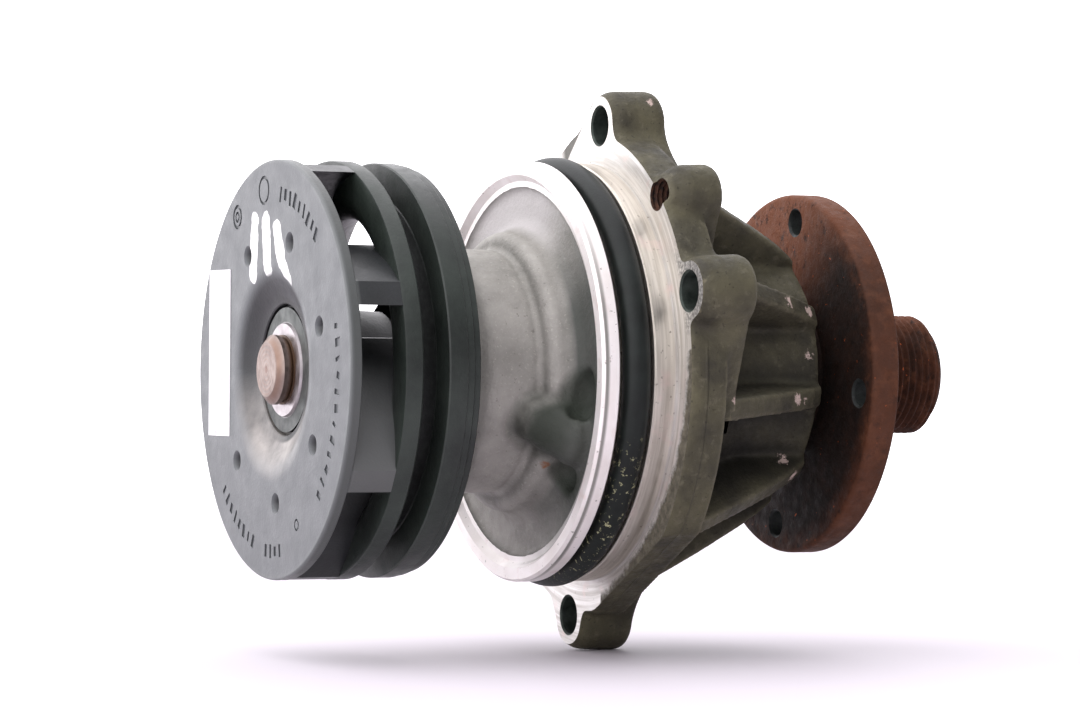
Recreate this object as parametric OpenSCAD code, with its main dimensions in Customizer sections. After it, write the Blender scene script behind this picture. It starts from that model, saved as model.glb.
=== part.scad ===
// Engine coolant pump: an aluminium housing with an O-ring spigot, a closed plastic impeller, an integral
// shaft bearing, a face seal, and a pressed-on fan hub with a threaded stub.
// The pump turns about the X axis. X points from the impeller to the hub, and Z points up.
// The origin is the centre of the mounting face. Clock angles start at -Y and run towards +Z.

/* [Spigot and flange] */
// Radius of the spigot that centres the pump in its bore
spigot_r = 41; // [40:0.5:43]
// Length of the spigot in front of the mounting face
spigot_l = 15.5; // [15:0.5:18]
// Outer radius of the flange between its ears
flange_r = 47.5; // [46:0.5:49]
// Thickness of the flange between its ears
flange_t = 7.5; // [6:0.5:9]
// Distance from the axis to the two flats beside the upright ears
flat_r = 43.8; // [43:0.1:46]
// Width of a flat
flat_w = 35; // [30:1:36]
// Clock angles of the two flats
flat_angles = [117.5, 297.5];
// Thickness of the casting at an ear
ear_t = 11.5; // [9:0.5:13]
// Diameter of the circle through the upper and lower bolt holes
upright_circle_d = 97.1; // [96.6:0.1:98]
// Diameter of the circle through the two side bolt holes
side_circle_d = 95.9; // [95:0.1:96]
// Clock angles of the upper and lower bolt ears
upright_angles = [82.5, 262.5];
// Clock angles of the two side bolt ears
side_angles = [18.6, 198.6];
// Diameter of a bolt hole
bolt_hole_d = 7.4; // [6.6:0.1:8.4]
// Clock angles of the two threaded jacking bosses
jack_angles = [46.6, 226.6];
// Diameter of the circle that the jacking holes lie on
jack_circle_d = 92.4; // [91:0.2:94]
// Tapping diameter of a jacking hole
jack_hole_d = 6; // [5:0.1:6.8]

/* [O-ring] */
// Thickness of the O-ring's round section
oring_d = 5.4; // [5:0.1:5.6]
// Radius of the groove floor under the O-ring
groove_r = 36.6; // [36.4:0.1:37]

/* [Housing body] */
// Outer radius of the snout round the seal
snout_r = 23.7; // [22:0.1:25]
// Outer radius of the bearing body at the hub end
body_r = 24.5; // [23:0.5:26]
// Distance from the mounting face to the hub end of the body
body_l = 39.5; // [39:0.1:40.5]
// Number of ribs on the body
rib_count = 10; // [6:1:12]
// Thickness of a rib
rib_t = 4.6; // [3:0.2:6]

/* [Impeller] */
// Outer radius of the impeller
impeller_r = 40; // [38:0.5:42]
// Number of blades
blade_count = 7; // [5:1:9]
// Thickness of a blade
blade_t = 2.4; // [1.8:0.1:3]
// Clock angle of the first blade's tip
blade_angle = 20.5; // [0:0.5:50]

/* [Bearing and shaft] */
// Radius of the shaft in the bearing
shaft_r = 7.96; // [7.9:0.01:8]
// Radius of the shaft where the impeller sits
stub_r = 6.65; // [6:0.05:7]
// Radius of the bearing's outer ring
bearing_r = 19.05; // [18:0.05:20]
// Number of balls
ball_count = 8; // [6:1:8]
// Number of rollers
roller_count = 10; // [8:1:10]

/* [Fan hub] */
// Radius of the hub flange
hub_flange_r = 36; // [34:0.5:38]
// Thickness of the hub flange
hub_flange_t = 5.9; // [5:0.1:8]
// Diameter of the circle of tapped holes
hub_circle_d = 61; // [56:1:64]
// Tapping diameter of a hub hole
hub_hole_d = 5; // [4:0.1:6.8]
// Radius of the threaded stub
stub_thread_r = 12; // [10:0.5:14]
// Length of the threaded stub
stub_thread_l = 24.4; // [18:0.1:28]

/* [Hidden] */
$fn = 96;

cut = 1;                       // how far a cutter runs past the face that it cuts
// Radius and clock angle of each bolt hole
bolts = concat(
    [for (angle = upright_angles) [upright_circle_d / 2, angle]],
    [for (angle = side_angles) [side_circle_d / 2, angle]]
);
ear_boss_r = 7;
jack_r = jack_circle_d / 2;
jack_boss_r = 6.2;

// Housing, along X
snout_x = -32;                 // front face of the snout
dish_r = 36.4;                 // inner edge of the spigot lip
dish_x = -13.6;                // floor of the dish inside the lip
ledge_x = -14.2;               // narrow ledge at the foot of the lip's inner cone
groove_x = [-11.9, -4.7];      // walls of the O-ring groove
oring_gap = 0.3;               // between the O-ring and the groove's rear wall
seal_bore_r = 18.25;
seal_floor_x = -20;
drain_r = 16;                  // drain chamber between the seal and the bearing
lug_angle = -23;               // clock angle of the lug that holds the weep passage
lug_r = 26.5;
lug_x = [-24, dish_x + 1];
weep_x = [-19, 24];            // from the lug to the dry side, between two ribs
weep_hole_r = 2;

// Bearing, along X
bearing_x = [-14, 38];
bearing_bore_r = 13.97;
ball_r = 3.572;
ball_pitch_r = 11.2;
ball_x = -3;
ball_groove_r = ball_r + 0.04;
roller_r = 2.98;
roller_pitch_r = 10.96;
roller_l = 12;
roller_x = 23;
cage_play = 0.15;

// Impeller, along X
disc_x = -65.7;                // outer face of the disc
disc_t = 2.3;
channel_x = [disc_x + disc_t, -54.9];
hub_rear_x = -41.4;
impeller_hub_r = 11.3;
throat_r = 28.8;
shroud_x = [-54.9, -39.4];
bush_r = 9;
dimple_r = 25.5;
blade_root_r = 24.5;           // radius where a blade starts
blade_sweep = 45;              // degrees that a blade turns through
blade_lean = 31;               // degrees between a blade's tip and the rim
// A blade follows one arc that leaves the rim at blade_lean and passes through its root.
blade_root = blade_root_r * [cos(blade_sweep), sin(blade_sweep)];
blade_inward = [-cos(blade_lean), -sin(blade_lean)];
to_root = blade_root - [impeller_r, 0];
blade_arc_r = (to_root * to_root) / (2 * (to_root * blade_inward));
blade_centre = [impeller_r, 0] + blade_arc_r * blade_inward;

// Shaft and fan hub, along X
shaft_x = [-66.8, 60];
stub_end_x = -50;
hub_x = [41.2, 44.9];          // start of the hub's sleeve, and the face of its flange
hub_sleeve_r = 14.5;
stub_x = hub_x[1] + hub_flange_t;

// Points of a circular arc from angle a to angle b, in degrees
function arc(centre, r, a, b, steps = 6) =
    [for (i = [0 : steps]) let (t = a + (b - a) * i / steps) centre + r * [cos(t), sin(t)]];

// A solid turned about the X axis, from an outline of [radius, x] points
module turned(outline) {
    rotate([0, 90, 0]) rotate_extrude() polygon(outline);
}

// A plain ring about the X axis
module ring(inner, outer, x) {
    turned([[inner, x[0]], [outer, x[0]], [outer, x[1]], [inner, x[1]]]);
}

// Extrudes a plan, drawn in clock angles, between two places along X
module plate(x) {
    translate([x[1], 0, 0]) rotate([90, 0, -90]) linear_extrude(x[1] - x[0]) children();
}

// Places a plan shape at a radius and a clock angle
module at_clock(r, angle) {
    rotate(angle) translate([r, 0]) children();
}

// Turns a shape so that its Z axis points out from the pump's axis at a clock angle
module outward(x, angle) {
    translate([x, 0, 0]) rotate([-angle, 0, 0]) rotate([90, 0, 0]) children();
}

// ---- Housing ----

// A round boss with a web that widens towards the flange
module ear_plan(r, boss_r, root_half_width) {
    translate([r, 0]) circle(boss_r);
    polygon([
        [r, boss_r], [flange_r - 8, root_half_width],
        [flange_r - 8, -root_half_width], [r, -boss_r]
    ]);
}

module rib() {
    rotate([90, 0, 0]) translate([0, 0, -rib_t / 2]) linear_extrude(rib_t) polygon([
        [flange_t - cut, body_r - 2], [flange_t - cut, 41.5], [flange_t + 4, 41],
        [body_l - 2.5, body_r + 2], [body_l, body_r], [body_l, body_r - 2]
    ]);
}

module housing_blank() {
    turned(concat(
        [[drain_r - 4, snout_x]],
        arc([snout_r - 2.5, snout_x + 2.5], 2.5, 270, 360),
        arc([snout_r + 3.5, -20.3], 3.5, 180, 90),
        [[30, -14.4], [dish_r - 1.2, dish_x], [dish_r, dish_x], [dish_r, ledge_x], [dish_r + 0.9, ledge_x]],
        [[dish_r + 1.9, -spigot_l], [spigot_r - 0.5, -spigot_l], [spigot_r, 0.5 - spigot_l]],
        [[spigot_r, groove_x[0]], [groove_r, groove_x[0]], [groove_r, groove_x[1]]],
        [[spigot_r, groove_x[1]], [spigot_r, 0], [flange_r, 0], [flange_r, flange_t]],
        [[38.5, flange_t]],
        arc([body_r + 16, flange_t + 20], 16, 230, 180),
        [[body_r, body_l - 1], [body_r - 1, body_l], [drain_r - 4, body_l]]
    ));
    for (bolt = bolts)
        plate([0, ear_t]) rotate(bolt[1]) ear_plan(bolt[0], ear_boss_r, 13);
    for (angle = jack_angles)
        plate([0.8, ear_t]) rotate(angle) ear_plan(jack_r, jack_boss_r, 8);
    for (i = [0 : rib_count - 1])
        rotate([i * 360 / rib_count - 26, 0, 0]) rotate([90, 0, 0]) rib();
    plate(lug_x) at_clock(lug_r, lug_angle) circle(5);
}

module housing() {
    color("#6b685c") difference() {
        housing_blank();
        ring(0, seal_bore_r, [snout_x - cut, seal_floor_x]);
        ring(0, drain_r, [seal_floor_x - cut, bearing_x[0]]);
        ring(0, bearing_r, [bearing_x[0], body_l + cut]);
        for (bolt = bolts)
            plate([-cut, ear_t + cut]) at_clock(bolt[0], bolt[1]) circle(d = bolt_hole_d);
        for (angle = jack_angles)
            plate([-cut, ear_t + cut]) at_clock(jack_r, angle) circle(d = jack_hole_d);
        for (angle = flat_angles)
            plate([-cut, flange_t + cut]) rotate(angle)
                translate([flat_r, -flat_w / 2]) square([10, flat_w]);
        plate(weep_x) at_clock(lug_r, lug_angle) circle(weep_hole_r);
        outward((seal_floor_x + bearing_x[0]) / 2, lug_angle) cylinder(r = weep_hole_r, h = lug_r);
    }
}

module o_ring() {
    color("#2f3435") rotate([0, 90, 0]) rotate_extrude()
        translate([groove_r + oring_d / 2, groove_x[1] - oring_gap - oring_d / 2])
            circle(d = oring_d, $fn = 48);
}

// ---- Bearing ----

// A torus-shaped raceway groove for the balls
module ball_groove() {
    rotate([0, 90, 0]) rotate_extrude() translate([ball_pitch_r, ball_x]) circle(ball_groove_r, $fn = 48);
}

module bearing_outer_ring() {
    color("silver") difference() {
        ring(bearing_bore_r, bearing_r, bearing_x);
        ball_groove();
    }
}

module bearing_seal(x) {
    color("#30302e") ring(shaft_r + 0.25, bearing_bore_r, [x, x + 1.4]);
}

module bearing_front_seal() {
    bearing_seal(bearing_x[0] + 0.5);
}

module bearing_rear_seal() {
    bearing_seal(bearing_x[1] - 1.9);
}

module at_balls() {
    for (i = [0 : ball_count - 1])
        outward(ball_x, i * 360 / ball_count) translate([0, 0, ball_pitch_r]) children();
}

module bearing_balls() {
    color("silver") at_balls() sphere(ball_r, $fn = 48);
}

module ball_cage() {
    color("#8a8d8f") difference() {
        ring(ball_pitch_r - 1, ball_pitch_r + 1.2, [ball_x - 4.8, ball_x + 4.8]);
        at_balls() sphere(ball_r + cage_play, $fn = 48);
    }
}

// Places rollers, and the pockets of their cage, along the shaft
module at_rollers() {
    for (i = [0 : roller_count - 1])
        rotate([i * 360 / roller_count, 0, 0]) translate([roller_x, -roller_pitch_r, 0])
            rotate([0, 90, 0]) children();
}

module bearing_rollers() {
    color("silver") at_rollers() cylinder(r = roller_r, h = roller_l, center = true, $fn = 48);
}

module roller_cage() {
    color("#8a8d8f") difference() {
        ring(roller_pitch_r - 0.9, roller_pitch_r + 0.9,
            [roller_x - roller_l / 2 - 2, roller_x + roller_l / 2 + 2]);
        at_rollers()
            cylinder(r = roller_r + cage_play, h = roller_l + 2 * cage_play, center = true, $fn = 48);
    }
}

// ---- Face seal ----

module seal_case() {
    color("#b08d4f") turned([
        [seal_bore_r - 1.1, snout_x - 1], [20.6, snout_x - 1], [20.6, snout_x],
        [seal_bore_r, snout_x], [seal_bore_r, seal_floor_x - 1], [10.2, seal_floor_x - 1],
        [10.2, seal_floor_x - 2], [seal_bore_r - 1.1, seal_floor_x - 2]
    ]);
}

module seal_bellows() {
    color("#26282a") turned([
        [9.6, -33.4], [13, -33.4], [13, -31.6], [12.2, -31.6], [12.2, -25], [16.9, -23.8],
        [16.9, -22], [10.4, -22], [10.4, -26.5], [9.6, -28]
    ]);
}

// A coil of round wire, swept as rings of points along a helix about the X axis
spring_turns = 4;
spring_r = 14.6;
spring_wire_r = 0.7;
spring_x = [-30.6, -25.9];
spring_steps = 24 * spring_turns;
spring_sides = 8;

module seal_spring() {
    points = [for (i = [0 : spring_steps], j = [0 : spring_sides - 1])
        let (turn = 360 * spring_turns * i / spring_steps, around = 360 * j / spring_sides,
             r = spring_r + spring_wire_r * cos(around),
             x = spring_x[0] + (spring_x[1] - spring_x[0]) * i / spring_steps)
        [x + spring_wire_r * sin(around), r * cos(turn), r * sin(turn)]];
    sides = [for (i = [0 : spring_steps - 1], j = [0 : spring_sides - 1])
        let (a = i * spring_sides, k = (j + 1) % spring_sides)
        [a + j, a + k, a + spring_sides + k, a + spring_sides + j]];
    first_end = [for (j = [spring_sides - 1 : -1 : 0]) j];
    last_end = [for (j = [0 : spring_sides - 1]) spring_steps * spring_sides + j];
    color("silver") polyhedron(points, concat([first_end], sides, [last_end]));
}

module seal_carbon_ring() {
    color("#3a3b3d") ring(9.7, 12.6, [-36.3, -33.4]);
}

module seal_seat_ring() {
    color("#d9d6cf") ring(9.2, 13.4, [-38.8, -36.3]);
}

module seal_seat_cup() {
    color("#33363a") turned([
        [shaft_r, -41.2], [14.4, -41.2], [14.4, -37], [13.4, -37], [13.4, -38.8], [9.2, -38.8],
        [9.2, -37], [shaft_r, -37]
    ]);
}

module slinger() {
    color("#8d9092") turned([
        [shaft_r, -18.5], [9.5, -18.5], [9.5, -17], [14, -16.4], [14, -15.4], [shaft_r, -15.4]
    ]);
}

// ---- Shaft and fan hub ----

module shaft() {
    color("#a59a94") difference() {
        turned([
            [0, shaft_x[0]], [5.2, shaft_x[0]], [stub_r, shaft_x[0] + 1.2],
            [stub_r, shaft_x[0] + 2.1], [stub_r - 0.4, shaft_x[0] + 2.2], [stub_r - 0.4, shaft_x[0] + 2.9],
            [stub_r, shaft_x[0] + 3], [stub_r, stub_end_x], [shaft_r, stub_end_x + 0.8],
            [shaft_r, shaft_x[1] - 1], [shaft_r - 1, shaft_x[1]], [0, shaft_x[1]]
        ]);
        ball_groove();
    }
}

module fan_hub() {
    color("#6b4030") difference() {
        turned([
            [shaft_r, hub_x[0]], [hub_sleeve_r, hub_x[0]], [hub_sleeve_r, hub_x[1]],
            [hub_flange_r - 0.6, hub_x[1]], [hub_flange_r, hub_x[1] + 0.6], [hub_flange_r, stub_x - 0.6],
            [hub_flange_r - 0.6, stub_x], [stub_thread_r, stub_x],
            [stub_thread_r, stub_x + stub_thread_l - 1.6], [stub_thread_r - 1.6, stub_x + stub_thread_l],
            [0, stub_x + stub_thread_l],
            [0, shaft_x[1]], [shaft_r, shaft_x[1]]
        ]);
        for (i = [0 : 3])
            plate([hub_x[1] - cut, stub_x + cut])
                at_clock(hub_circle_d / 2, 83 + 90 * i) circle(d = hub_hole_d);
    }
}

// ---- Impeller ----

module blade_plan() {
    intersection() {
        difference() {
            circle(impeller_r - 0.05);
            circle(blade_root_r);
        }
        translate(blade_centre) difference() {
            circle(blade_arc_r + blade_t / 2);
            circle(blade_arc_r - blade_t / 2);
        }
        rotate(atan2(blade_centre[1], blade_centre[0])) translate([-60, 0]) square([120, 60]);
    }
}

// The face of the shroud that the blades stand against, from the rim to the throat
shroud_front = concat([[impeller_r, shroud_x[0]], [36, shroud_x[0] + 0.2]],
    arc([34.8, -48.7], 6, 265, 190));

module impeller_disc() {
    color("#3b3e40") difference() {
        union() {
            turned([
                [12.5, disc_x + 2.6], [19.3, disc_x], [impeller_r - 0.6, disc_x], [impeller_r, disc_x + 0.6],
                [impeller_r, channel_x[0]], [25, channel_x[0] + 0.3], [17, -60.6], [13, -57.5],
                [impeller_hub_r, -53.5], [impeller_hub_r, hub_rear_x - 2.6], [impeller_hub_r - 2, hub_rear_x],
                [shaft_r + 0.2, hub_rear_x], [shaft_r + 0.2, stub_end_x], [bush_r, stub_end_x],
                [bush_r, -61.6], [12.5, -61.6]
            ]);
            intersection() {
                for (i = [0 : blade_count - 1])
                    plate([channel_x[0], -46]) rotate(blade_angle + i * 360 / blade_count) blade_plan();
                turned(concat([[blade_root_r - 1, channel_x[0]], [impeller_r, channel_x[0]]],
                    shroud_front, [[blade_root_r - 1, -49.5]]));
            }
        }
        for (i = [0 : blade_count - 1])
            plate([disc_x - cut, disc_x + 0.9]) at_clock(dimple_r, 18.3 + i * 360 / blade_count) circle(2);
    }
}

module impeller_shroud() {
    color("#2c3233") turned(concat(
        shroud_front,
        [[throat_r, -48.4], [29.3, -46.6], [31, -44], [33.6, -41.6], [36.6, shroud_x[1]], [39, shroud_x[1]]],
        [[39, -40.6], [39.5, -40.9], [39.5, -42.1], [39.8, -42.4], [39.8, -46], [33.6, -46], [33.6, -51.2]],
        [[impeller_r, -51.2]]
    ));
}

module impeller_bush() {
    color("#c9c4c2") turned([
        [stub_r, disc_x + 2.3], [bush_r - 0.2, disc_x + 2.3], [bush_r, disc_x + 2.8], [11.9, disc_x + 2.9],
        [11.9, -61.6], [bush_r, -61.6], [bush_r, stub_end_x], [stub_r, stub_end_x]
    ]);
}

// A paper sticker on the disc's face
module label() {
    color("white") plate([disc_x - 0.15, disc_x]) translate([-34, -13]) square([11.5, 32.5]);
}

housing();
o_ring();
bearing_outer_ring();
bearing_front_seal();
bearing_rear_seal();
seal_case();
seal_bellows();
seal_spring();
seal_carbon_ring();
shaft();
impeller_disc();
impeller_shroud();
impeller_bush();
label();
seal_seat_cup();
seal_seat_ring();
slinger();
fan_hub();
bearing_balls();
ball_cage();
bearing_rollers();
roller_cage();
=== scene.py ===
import math

import bmesh
import bpy
import numpy as np
from mathutils import Matrix, Vector


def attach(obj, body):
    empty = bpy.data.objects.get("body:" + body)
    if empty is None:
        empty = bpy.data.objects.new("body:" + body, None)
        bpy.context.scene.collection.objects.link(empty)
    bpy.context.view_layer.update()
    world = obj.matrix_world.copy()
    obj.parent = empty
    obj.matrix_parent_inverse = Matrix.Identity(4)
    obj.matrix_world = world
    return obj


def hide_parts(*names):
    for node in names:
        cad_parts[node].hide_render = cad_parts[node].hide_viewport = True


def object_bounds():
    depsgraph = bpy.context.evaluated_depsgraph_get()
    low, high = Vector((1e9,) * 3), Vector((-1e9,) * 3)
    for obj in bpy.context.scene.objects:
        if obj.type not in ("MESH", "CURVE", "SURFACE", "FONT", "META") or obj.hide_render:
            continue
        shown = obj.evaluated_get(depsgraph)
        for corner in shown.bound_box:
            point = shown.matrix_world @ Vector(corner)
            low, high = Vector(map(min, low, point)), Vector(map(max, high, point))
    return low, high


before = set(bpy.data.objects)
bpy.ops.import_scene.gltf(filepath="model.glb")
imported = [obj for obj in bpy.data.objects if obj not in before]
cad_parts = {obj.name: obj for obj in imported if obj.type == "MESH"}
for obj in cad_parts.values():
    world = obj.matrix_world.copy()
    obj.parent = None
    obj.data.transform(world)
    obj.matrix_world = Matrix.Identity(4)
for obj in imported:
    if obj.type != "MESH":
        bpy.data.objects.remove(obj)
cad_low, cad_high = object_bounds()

# The pump turns about the X axis, with the impeller at -X and the fan hub at +X, and the mounting face is at
# x = 0. Clock angles start at -Y and run to +Z. Shapes are drawn in millimetres and are scaled once, when a
# mesh is made. Materials compare radii and places along the axis in metres, and turns in degrees.


# ---- Housing casting ----
# The body is one aluminium pressure casting: a snout round the face seal, a dish, a spigot, a flange with
# ears, and a ribbed bearing body. It is fused from plain shapes, rounded like a casting, and then machined.

MM = 0.001
CIRCLE_STEPS = 256


def clock(x, r, angle):
    """The place, in mm, at a distance x along the axis, a radius and a clock angle in degrees."""
    turn = np.radians(angle)
    return np.stack(np.broadcast_arrays(x, -r * np.cos(turn), r * np.sin(turn)), -1)


def arc(centre, r, start, end, steps=8):
    """Points of an arc in an outline, from one angle to another in degrees."""
    turns = np.radians(np.linspace(start, end, steps))
    return [(centre[0] + r * math.cos(t), centre[1] + r * math.sin(t)) for t in turns]


def lofted(rings, closed=False):
    """Points and faces of a skin through rings of points. An open run of rings gets flat ends."""
    rings = np.asarray(rings, float)
    count, around = rings.shape[:2]
    faces = []
    for i in range(count if closed else count - 1):
        a, b = i * around, (i + 1) % count * around
        faces += [(a + j, a + (j + 1) % around, b + (j + 1) % around, b + j) for j in range(around)]
    if not closed:
        faces += [tuple(range(around))[::-1], tuple(range((count - 1) * around, count * around))]
    return rings.reshape(-1, 3), faces


def turned(outline, steps=None):
    """A closed outline of (radius, x) points, turned about the X axis."""
    steps = steps or CIRCLE_STEPS
    angles = np.arange(steps) * 360 / steps
    return lofted([clock(x, r, angles) for r, x in outline], closed=True)


def layer(x, plan, angle):
    """A plan of (outwards, round) points, turned to a clock angle and set at a distance along the axis."""
    t = math.radians(angle)
    u, v = (np.asarray(plan) @ np.array([(math.cos(t), math.sin(t)), (-math.sin(t), math.cos(t))])).T
    return np.stack([np.full(len(u), x), -u, v], 1)


def mesh_object(name, shapes, materials=(), finish=0):
    """One object made of closed shapes in mm. Its faces take one of its materials, by number."""
    points, faces, start = [], [], 0
    for shape_points, shape_faces in shapes:
        points += [tuple(p) for p in np.asarray(shape_points) * MM]
        faces += [tuple(start + i for i in face) for face in shape_faces]
        start += len(shape_points)
    mesh = bpy.data.meshes.new(name)
    mesh.from_pydata(points, [], faces)
    mesh.polygons.foreach_set("material_index", [finish] * len(faces))
    for material in materials:
        mesh.materials.append(material)
    work = bmesh.new()
    work.from_mesh(mesh)
    bmesh.ops.remove_doubles(work, verts=work.verts, dist=1e-7)
    bmesh.ops.recalc_face_normals(work, faces=work.faces)
    work.to_mesh(mesh)
    work.free()
    made = bpy.data.objects.new(name, mesh)
    bpy.context.scene.collection.objects.link(made)
    return made


def applied(made, *modifiers):
    """Adds modifiers, each a kind and its settings, and makes their result the object's own mesh."""
    for kind, settings in modifiers:
        modifier = made.modifiers.new(kind.lower(), kind)
        for key, value in settings.items():
            setattr(modifier, key, value)
    bpy.context.view_layer.update()
    result = bpy.data.meshes.new_from_object(made.evaluated_get(bpy.context.evaluated_depsgraph_get()))
    made.modifiers.clear()
    old, made.data = made.data, result
    bpy.data.meshes.remove(old)
    return made


def cut(made, cutter, operation="DIFFERENCE"):
    """Cuts one solid with another, which is used up."""
    settings = {"operation": operation, "object": cutter, "solver": "MANIFOLD"}
    applied(made, ("BOOLEAN", settings))
    bpy.data.objects.remove(cutter)
    return made


def smooth(made, angle=35):
    """Shades a mesh smooth, with edges that are sharper than an angle left crisp."""
    made.data.polygons.foreach_set("use_smooth", [True] * len(made.data.polygons))
    made.data.set_sharp_from_angle(angle=math.radians(angle))
    return made


SPIGOT_R, GROOVE_R, GROOVE_X = 41.0, 36.6, (-11.9, -4.7)
LIP_X, DISH_R, DISH_X = -15.5, 36.3, -13.4
SNOUT_R, SNOUT_X = 23.7, -32.0
FLANGE_R, FLANGE_T, EAR_T = 47.5, 7.5, 11.6
BODY_R, BODY_X = 24.6, 39.5
SEAL_BORE_R, DRAIN_R, BEARING_BORE_R = 18.25, 16, 19.05
DRAIN_X = (-20, -14)
BOLT_HOLE_R, JACK_HOLE_R, JACK_PITCH = 3.7, 2.95, 1.0
# Bolt ears: radius, clock angle, boss radius, and the flare and curve of the web on each side of it
EARS = [(48.55, 82.5, 6.8, ((12.5, 1.05), (16, 2.0))), (48.55, 262.5, 6.8, ((8, 1.8), (11, 1.15))),
        (47.95, 18.6, 6.8, ((6, 1.8), (16, 3.0))), (47.95, 198.6, 6.8, ((6, 1.8), (16, 3.0)))]
JACK_R, JACK_ANGLES, JACK_BOSS_R = 46.2, (46.6, 226.6), 6.0
FLAT_R, FLAT_W, FLAT_ANGLES = 43.8, 35.0, (117.5, 297.5)
ROUGHED = 1.5              # stock left on for machining


def ear(r, angle, boss_r, flares, front, back):
    """A boss on the flange. Each side of its web flares by its own amount. It is drafted to the front, and its
    edge is rounded behind."""
    outer = [(r + boss_r * math.cos(t), boss_r * math.sin(t)) for t in np.radians(np.linspace(-62, 62, 15))]
    sides = []
    for (flare, power), sign in zip(flares, (1, -1)):
        for step in np.linspace(0, 1, 8):
            reach = r + 2 - step * (r - 36)
            sides.append((reach, sign * (boss_r * (1 - 0.06 * (1 - step)) + flare * step ** power)))
    plan = np.array(outer + sides[:8] + sides[:7:-1])
    stations = [(front, 1.9), (front + 3.2, 0), (back - 2, -0.3)]
    stations += [(back - 2 + 2 * math.sin(t), 1.7 - 2 * math.cos(t)) for t in np.radians((30, 60, 90))]
    rings = []
    for x, inset in stations:
        scaled = plan.copy()
        scaled[:15] = (plan[:15] - (r, 0)) * (1 - inset / boss_r) + (r, 0)
        scaled[15:, 1] -= np.sign(plan[15:, 1]) * inset
        rings.append(layer(x, scaled, angle))
    return lofted(rings)


RIB_COUNT, RIB_START = 10, 26.0


def rib():
    """One rib at clock angle 0: a web that falls from the flange to the end of the body, with draft."""
    foot, crest = 2.5, 2.1
    line = [(FLANGE_T - 2, 41.5), (FLANGE_T + 4, 41.4), (22, 36.2), (31, 31.4)]
    line += [(BODY_X - 3.5, 28.4), (BODY_X - 0.2, 26.0)]
    rings = [[(x, -20, -foot), (x, -20, foot), (x, -r, crest), (x, -r, -crest)] for x, r in line]
    return lofted(rings)


def repeated(made, count, pitch, start=0.0):
    """Repeats an object round the X axis with Geometry Nodes, as one plain mesh, at clock angles."""
    tree = bpy.data.node_groups.new("round_the_axis", "GeometryNodeTree")
    sockets = {"Geometry": "NodeSocketGeometry", "Count": "NodeSocketInt", "Pitch": "NodeSocketFloat",
               "Start": "NodeSocketFloat", "Finish": "NodeSocketMaterial"}
    ids = {name: tree.interface.new_socket(name, in_out="INPUT", socket_type=kind).identifier
           for name, kind in sockets.items()}
    tree.interface.new_socket("Geometry", in_out="OUTPUT", socket_type="NodeSocketGeometry")
    given = add(tree, "NodeGroupInput").outputs
    points = add(tree, "GeometryNodePoints", {"Count": given["Count"]})
    index = add(tree, "GeometryNodeInputIndex")
    turn = math_of(tree, "MULTIPLY_ADD", index.outputs[0], given["Pitch"], given["Start"])
    rotation = add(tree, "ShaderNodeCombineXYZ", {"X": times(tree, turn, -math.pi / 180)})
    inputs = {"Points": points.outputs[0], "Instance": given["Geometry"], "Rotation": rotation.outputs[0]}
    copies = add(tree, "GeometryNodeInstanceOnPoints", inputs)
    real = add(tree, "GeometryNodeRealizeInstances", {0: copies.outputs[0]})
    inputs = {"Geometry": real.outputs[0], "Material": given["Finish"]}
    finished = add(tree, "GeometryNodeSetMaterial", inputs)
    add(tree, "NodeGroupOutput", {0: finished.outputs[0]})
    modifier = made.modifiers.new("round_the_axis", "NODES")
    modifier.node_group = tree
    modifier[ids["Count"]] = count
    modifier[ids["Pitch"]] = float(pitch)
    modifier[ids["Start"]] = float(start)
    if made.data.materials:
        modifier[ids["Finish"]] = made.data.materials[0]
    return applied(made)


def add(tree, kind, inputs=None, **settings):
    """Adds a node with its settings, and links or sets its inputs."""
    node = tree.nodes.new(kind)
    for key, value in settings.items():
        setattr(node, key, value)
    for key, value in (inputs or {}).items():
        if isinstance(value, bpy.types.NodeSocket):
            tree.links.new(value, node.inputs[key])
        else:
            node.inputs[key].default_value = value
    return node


def paint(code):
    """Turns an sRGB hex colour to linear light."""
    parts = [int(code[i:i + 2], 16) / 255 for i in (1, 3, 5)]
    return tuple(p / 12.92 if p <= 0.04045 else ((p + 0.055) / 1.055) ** 2.4 for p in parts) + (1.0,)


def surface(name, **settings):
    """A new material with its shader's plain settings, its tree, its shader and the output for its place."""
    made = bpy.data.materials.new(name)
    made.use_nodes = True
    tree = made.node_tree
    shader = tree.nodes["Principled BSDF"]
    for key, value in settings.items():
        shader.inputs[key.replace("_", " ")].default_value = value
    place = add(tree, "ShaderNodeTexCoord").outputs["Object"]
    return made, tree, shader, place


def math_of(tree, operation, *values):
    """The result of one math node."""
    return add(tree, "ShaderNodeMath", dict(enumerate(values)), operation=operation).outputs[0]


def times(tree, *values):
    """The product of two or more values."""
    product = values[0]
    for value in values[1:]:
        product = math_of(tree, "MULTIPLY", product, value)
    return product


def vector_of(tree, operation, *values, output="Vector"):
    """The result of one vector math node."""
    return add(tree, "ShaderNodeVectorMath", dict(enumerate(values)), operation=operation).outputs[output]


def axis_places(tree, place):
    """Outputs for the distance along the axis, the radius from it and the clock angle in degrees."""
    parts = add(tree, "ShaderNodeSeparateXYZ", {0: place}).outputs
    flat = add(tree, "ShaderNodeCombineXYZ", {"Y": parts["Y"], "Z": parts["Z"]})
    radius = vector_of(tree, "LENGTH", flat.outputs[0], output="Value")
    turn = math_of(tree, "ARCTAN2", parts["Z"], times(tree, parts["Y"], -1.0))
    return parts["X"], radius, times(tree, turn, 180 / math.pi)


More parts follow.
